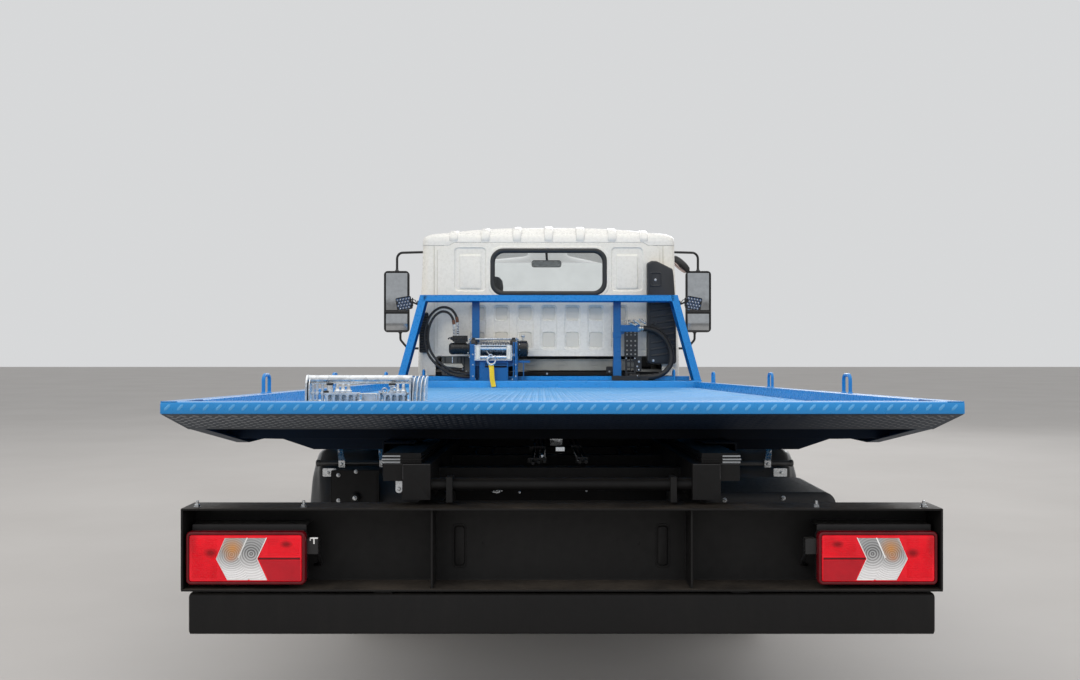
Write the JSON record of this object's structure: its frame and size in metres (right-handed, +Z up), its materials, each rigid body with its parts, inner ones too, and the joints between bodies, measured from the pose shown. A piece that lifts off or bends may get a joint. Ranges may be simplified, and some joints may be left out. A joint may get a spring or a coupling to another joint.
{
  "type": "flatbed tow truck",
  "caption": "Light flatbed recovery truck: white cab, blue sliding and tilting bed with tread plate, headboard winch, black frame, twin rear wheels and tail lamps.",
  "frame": {"origin": "on the ground, at the middle of the truck's length and width", "axes": "+Y forwards, towards the cab; +X to the truck's right; +Z up"},
  "size_m": [3.104, 7.7998, 2.2999],
  "materials": {
    "white_paint": "gloss",
    "blue_paint": "semi gloss",
    "black_paint": "satin",
    "frame_black": "satin",
    "cast": "rough cast",
    "rim_paint": "satin silver",
    "tyre": "matt",
    "glass": "clear",
    "black_plastic": "grained",
    "lamp_plastic": "gloss",
    "lamp_clear": "gloss",
    "trim_grey": "grained",
    "seat_cloth": "woven",
    "zinc": "zinc plated",
    "chromed": "polished",
    "hose_rubber": "matt",
    "strap_yellow": "woven",
    "aluminium": "satin"
  },
  "bodies": {
    "chassis": {"frame_rails": "frame_black", "frame_crossmembers": "frame_black", "front_axle": "cast", "rear_axle": "cast", "leaf_springs": "frame_black", "engine_block": "cast", "propshaft": "frame_black", "fuel_tank": "aluminium", "equipment_boxes": "black_paint", "exhaust": "aluminium", "underrun_guards": "black_paint", "rear_bumper": "black_paint", "road_lamps": "lamp_plastic", "rear_mudguards": "black_plastic", "cab_roof": "white_paint", "cab_back_panel": "white_paint", "cab_front_panel": "white_paint", "cab_side_panels": "white_paint", "cab_floor": "frame_black", "cab_glass": "glass", "seats": "seat_cloth", "dashboard": "trim_grey", "snorkel": "black_plastic", "mirrors": "black_plastic", "front_bumper": "white_paint"},
    "steer_left": {"knuckle_left": "cast"},
    "steer_right": {"knuckle_right": "cast"},
    "steering_link": {"track_rod": "frame_black"},
    "front_wheel_left": {"rim_front_left": "rim_paint", "tyre_front_left": "tyre"},
    "front_wheel_right": {"rim_front_right": "rim_paint", "tyre_front_right": "tyre"},
    "rear_wheels_left": {"rims_rear_left": "rim_paint", "tyres_rear_left": "tyre"},
    "rear_wheels_right": {"rims_rear_right": "rim_paint", "tyres_rear_right": "tyre"},
    "left_door": {"door_left": "white_paint"},
    "right_door": {"door_right": "white_paint"},
    "tilting_frame": {"tilt_frame": "black_paint", "slide_cylinder": "black_paint"},
    "tilt_barrels": {"tilt_cylinder_barrels": "black_paint"},
    "tilt_rods": {"tilt_cylinder_rods": "chromed"},
    "bed": {"slide_cylinder_rod": "chromed", "deck_floor": "blue_paint", "deck_side_rails": "blue_paint", "deck_crossmembers": "blue_paint", "deck_beams": "blue_paint", "headboard": "blue_paint", "tie_down_loops": "blue_paint", "winch_frame": "blue_paint", "winch": "black_paint", "winch_fairlead": "zinc", "winch_hook": "zinc", "tow_strap": "strap_yellow", "hose_inner": "hose_rubber", "hose_outer": "hose_rubber", "conduit": "hose_rubber", "hose_carrier": "black_plastic", "work_lamps": "lamp_clear", "wheel_skate": "zinc"}
  },
  "joints": [
    {"name": "steer_left", "type": "hinge", "parent": "chassis", "child": "steer_left", "pos_m": [-0.72, 2.75, 0.385], "axis": [0, 0, 1], "range_deg": [-35, 35]},
    {"name": "steer_right", "type": "hinge", "parent": "chassis", "child": "steer_right", "pos_m": [0.72, 2.75, 0.385], "axis": [0, 0, 1], "range_deg": [-35, 35]},
    {"name": "track_rod", "type": "slide", "parent": "chassis", "child": "steering_link", "axis": [1, 0, 0], "range_m": [-0.0865, 0.0865]},
    {"name": "wheel_front_left", "type": "hinge", "parent": "steer_left", "child": "front_wheel_left", "pos_m": [-0.86, 2.75, 0.385], "axis": [1, 0, 0], "continuous": true},
    {"name": "wheel_front_right", "type": "hinge", "parent": "steer_right", "child": "front_wheel_right", "pos_m": [0.86, 2.75, 0.385], "axis": [1, 0, 0], "continuous": true},
    {"name": "wheels_rear_left", "type": "hinge", "parent": "chassis", "child": "rear_wheels_left", "pos_m": [-0.805, -1.4, 0.385], "axis": [1, 0, 0], "continuous": true},
    {"name": "wheels_rear_right", "type": "hinge", "parent": "chassis", "child": "rear_wheels_right", "pos_m": [0.805, -1.4, 0.385], "axis": [1, 0, 0], "continuous": true},
    {"name": "door_left", "type": "hinge", "parent": "chassis", "child": "left_door", "pos_m": [-1.062, 3.665, 1.4], "axis": [0, 0, -1], "range_deg": [0, 70]},
    {"name": "door_right", "type": "hinge", "parent": "chassis", "child": "right_door", "pos_m": [1.062, 3.665, 1.4], "axis": [0, 0, 1], "range_deg": [0, 70]},
    {"name": "bed_tilt", "type": "hinge", "parent": "chassis", "child": "tilting_frame", "pos_m": [0, -3.70539, 0.95018], "axis": [1, 0, 0], "range_deg": [0, 18]},
    {"name": "bed_slide", "type": "slide", "parent": "tilting_frame", "child": "bed", "axis": [0, -0.9997, 0.0244], "range_m": [0, 3.6]},
    {"name": "barrel_swing", "type": "hinge", "parent": "chassis", "child": "tilt_barrels", "pos_m": [0, -2.65, 0.42], "axis": [1, 0, 0], "range_deg": [0, 7.75]},
    {"name": "tilt_ram", "type": "slide", "parent": "tilt_barrels", "child": "tilt_rods", "axis": [0, 0.204, 0.979], "range_m": [0, 0.35125]}
  ],
  "couplings": [
    {"joint": "steer_right", "follows": "steer_left", "ratio": 1},
    {"joint": "track_rod", "follows": "steer_left", "m_per_rad": 0.1408},
    {"joint": "barrel_swing", "follows": "bed_tilt", "ratio": 0.43061},
    {"joint": "tilt_ram", "follows": "bed_tilt", "m_per_rad": 1.1181}
  ]
}
